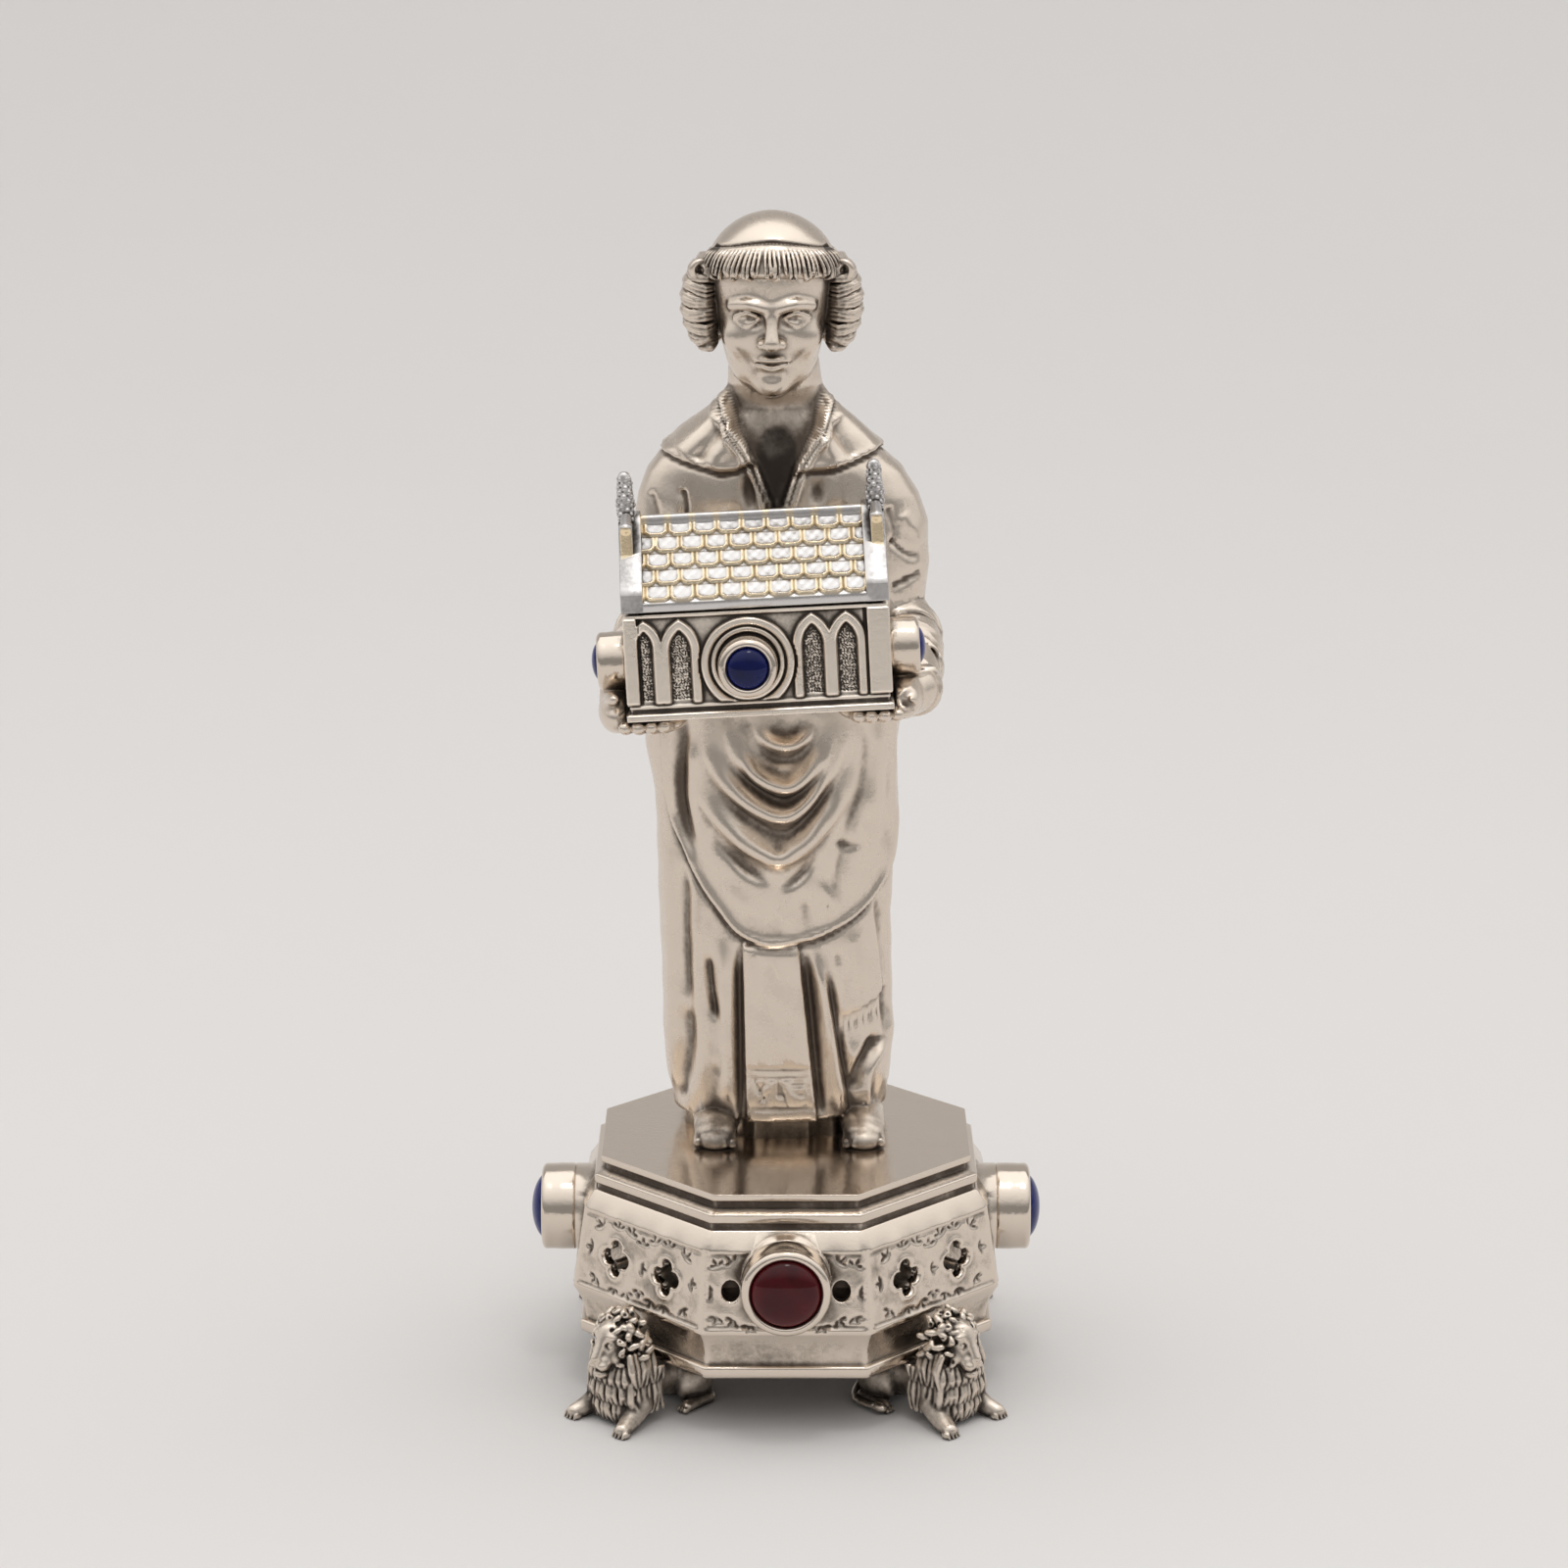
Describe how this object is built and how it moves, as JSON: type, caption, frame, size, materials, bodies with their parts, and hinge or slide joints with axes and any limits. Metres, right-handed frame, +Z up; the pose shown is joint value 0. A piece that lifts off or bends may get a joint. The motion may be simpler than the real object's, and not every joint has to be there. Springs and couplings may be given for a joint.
{
  "type": "reliquary statuette holding a casket",
  "caption": "Silver statuette of a tonsured cleric who holds a house-shaped casket, on a pierced octagonal plinth with round stones and lion feet.",
  "frame": {"origin": "on the floor under the middle of the plinth", "axes": "+Z up, the figure's front looks along -Y, +X to the viewer's right"},
  "size_m": [0.0532, 0.0532, 0.1206],
  "materials": {
    "silver": "polished antique silver with brown-black oxide in the recesses",
    "red_stone": "polished deep red cabochon",
    "blue_stone": "polished deep blue cabochon"
  },
  "bodies": {
    "root": {"plinth": "silver", "base_collar_front": "silver", "base_collar_right": "silver", "base_collar_back": "silver", "base_collar_left": "silver", "base_stone_front": "red_stone", "base_stone_right": "blue_stone", "base_stone_back": "red_stone", "base_stone_left": "blue_stone", "lion_front_left": "silver", "lion_front_right": "silver", "lion_back_left": "silver", "lion_back_right": "silver", "figure": "silver", "casket_box": "silver", "casket_lid": "silver", "casket_collar_front": "silver", "casket_collar_left": "silver", "casket_collar_right": "silver", "casket_stone_front": "blue_stone", "casket_stone_left": "blue_stone", "casket_stone_right": "blue_stone"}
  },
  "joints": []
}
